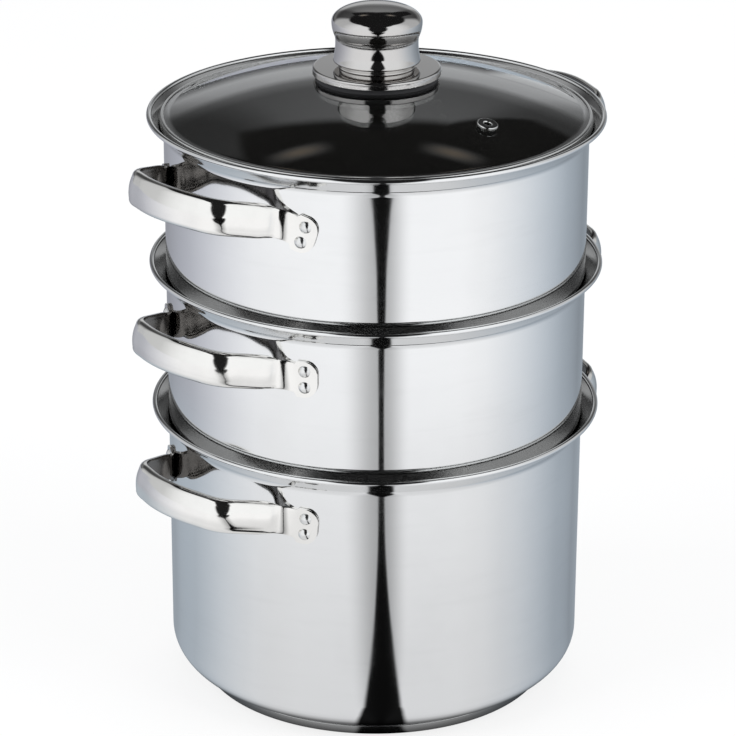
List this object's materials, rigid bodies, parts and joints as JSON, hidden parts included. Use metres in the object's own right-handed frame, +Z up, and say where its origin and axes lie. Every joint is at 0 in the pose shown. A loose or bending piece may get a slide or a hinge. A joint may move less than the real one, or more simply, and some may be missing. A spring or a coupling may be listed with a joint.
{
  "type": "steamer pot",
  "caption": "Tall steamer pot: a pot, stacking perforated steamer baskets, strap side handles and a domed glass lid with a steel knob.",
  "frame": {"origin": "middle of the underside of the base, on the plane that the pot stands on", "axes": "+Z up along the axis of the pot; the side handles lie on +X and -X; the lid's steam vent lies close to -Y"},
  "size_m": [0.2388, 0.1942, 0.3024],
  "materials": {
    "vessel_steel": "mirror polished outside, softer polish inside",
    "handle_steel": "polished pressed strap",
    "rivet_steel": "polished",
    "base_steel": "turned satin underside, polished side",
    "base_aluminium": "turned satin",
    "lid_glass": "clear tempered glass, smooth",
    "lid_steel": "polished thin sheet",
    "knob_steel": "mirror polished",
    "core_aluminium": "machined",
    "silicone": "matte silicone",
    "screw_steel": "plain bright screw"
  },
  "bodies": {
    "pot": {"pot_shell": "vessel_steel", "base_core": "base_aluminium", "base_cap": "base_steel", "pot_handle_left": "handle_steel", "pot_handle_right": "handle_steel", "pot_rivets_left": "rivet_steel", "pot_rivets_right": "rivet_steel"},
    "lower_steamer": {"lower_steamer_basket": "vessel_steel", "lower_steamer_handle_left": "handle_steel", "lower_steamer_handle_right": "handle_steel", "lower_steamer_rivets_left": "rivet_steel", "lower_steamer_rivets_right": "rivet_steel"},
    "upper_steamer": {"upper_steamer_basket": "vessel_steel", "upper_steamer_handle_left": "handle_steel", "upper_steamer_handle_right": "handle_steel", "upper_steamer_rivets_left": "rivet_steel", "upper_steamer_rivets_right": "rivet_steel"},
    "lid": {"lid_glass": "lid_glass", "lid_rim_ring": "lid_steel", "lid_vent_eyelet": "lid_steel", "knob_gasket": "silicone", "knob_flange": "knob_steel", "knob_shell": "knob_steel", "knob_core": "core_aluminium", "under_gasket": "silicone", "under_washer": "lid_steel", "knob_screw": "screw_steel"}
  },
  "joints": [
    {"name": "lower_steamer_lift", "type": "slide", "parent": "pot", "child": "lower_steamer", "axis": [0, 0, 1], "range_m": [0, 0.12]},
    {"name": "upper_steamer_lift", "type": "slide", "parent": "lower_steamer", "child": "upper_steamer", "axis": [0, 0, 1], "range_m": [0, 0.12]},
    {"name": "lid_lift", "type": "slide", "parent": "upper_steamer", "child": "lid", "axis": [0, 0, 1], "range_m": [0, 0.12]}
  ]
}
